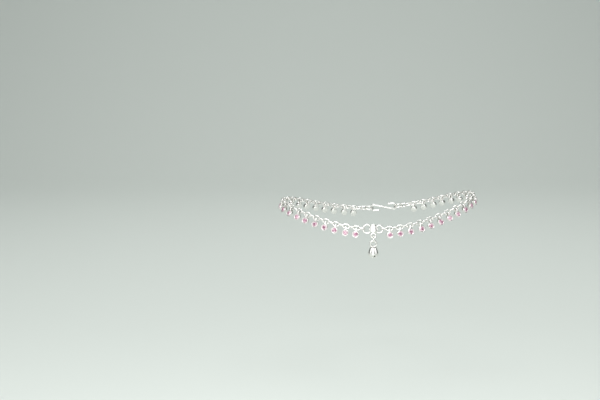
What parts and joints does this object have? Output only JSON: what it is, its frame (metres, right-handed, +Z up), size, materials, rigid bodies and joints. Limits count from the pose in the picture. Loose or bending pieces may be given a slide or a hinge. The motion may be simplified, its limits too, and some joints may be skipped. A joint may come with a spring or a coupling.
{
  "type": "payal anklet",
  "caption": "Silver payal anklet: a closed loop of oval links with round pink stone drops, two plain rings in a domed bail and a small pear-shaped bell",
  "frame": {"origin": "the middle of the loop, where it is held when it is worn", "axes": "+X towards the back end of the loop, -Y the side with the bell, +Z up"},
  "size_m": [0.1104, 0.0652, 0.0302],
  "materials": {
    "silver": "polished silver",
    "stone_drop": "faceted pink stone in a polished silver bezel"
  },
  "bodies": {
    "loop": {"chain_front": "silver", "chain_back": "silver", "motif_ring_front": "silver", "motif_ring_back": "silver", "bail": "silver", "end_ring_front": "silver", "end_ring_back": "silver", "hook": "silver", "drop_front_01": "stone_drop", "drop_front_02": "stone_drop", "drop_front_03": "stone_drop", "drop_front_04": "stone_drop", "drop_front_05": "stone_drop", "drop_front_06": "stone_drop", "drop_front_07": "stone_drop", "drop_front_08": "stone_drop", "drop_front_09": "stone_drop", "drop_front_10": "stone_drop", "drop_front_11": "stone_drop", "drop_front_12": "stone_drop", "drop_front_13": "stone_drop", "drop_front_14": "stone_drop", "drop_front_15": "stone_drop", "drop_front_16": "stone_drop", "drop_front_17": "stone_drop", "drop_front_18": "stone_drop", "drop_front_19": "stone_drop", "drop_front_20": "stone_drop", "drop_back_01": "stone_drop", "drop_back_02": "stone_drop", "drop_back_03": "stone_drop", "drop_back_04": "stone_drop", "drop_back_05": "stone_drop", "drop_back_06": "stone_drop", "drop_back_07": "stone_drop", "drop_back_08": "stone_drop", "drop_back_09": "stone_drop", "drop_back_10": "stone_drop", "drop_back_11": "stone_drop", "drop_back_12": "stone_drop", "drop_back_13": "stone_drop", "drop_back_14": "stone_drop", "drop_back_15": "stone_drop", "drop_back_16": "stone_drop", "drop_back_17": "stone_drop", "drop_back_18": "stone_drop", "drop_back_19": "stone_drop", "drop_back_20": "stone_drop"},
    "connector_ring": {"connector": "silver"},
    "bell": {"ghungroo": "silver"}
  },
  "joints": [
    {"name": "connector_swing", "type": "hinge", "parent": "loop", "child": "connector_ring", "pos_m": [-0.004, -0.03091, -0.01473], "axis": [1, 0, 0], "range_deg": [-35, 35]},
    {"name": "ghungroo_swing", "type": "hinge", "parent": "connector_ring", "child": "bell", "pos_m": [-0.004, -0.03091, -0.01731], "axis": [0, 1, 0], "range_deg": [-40, 40]}
  ]
}
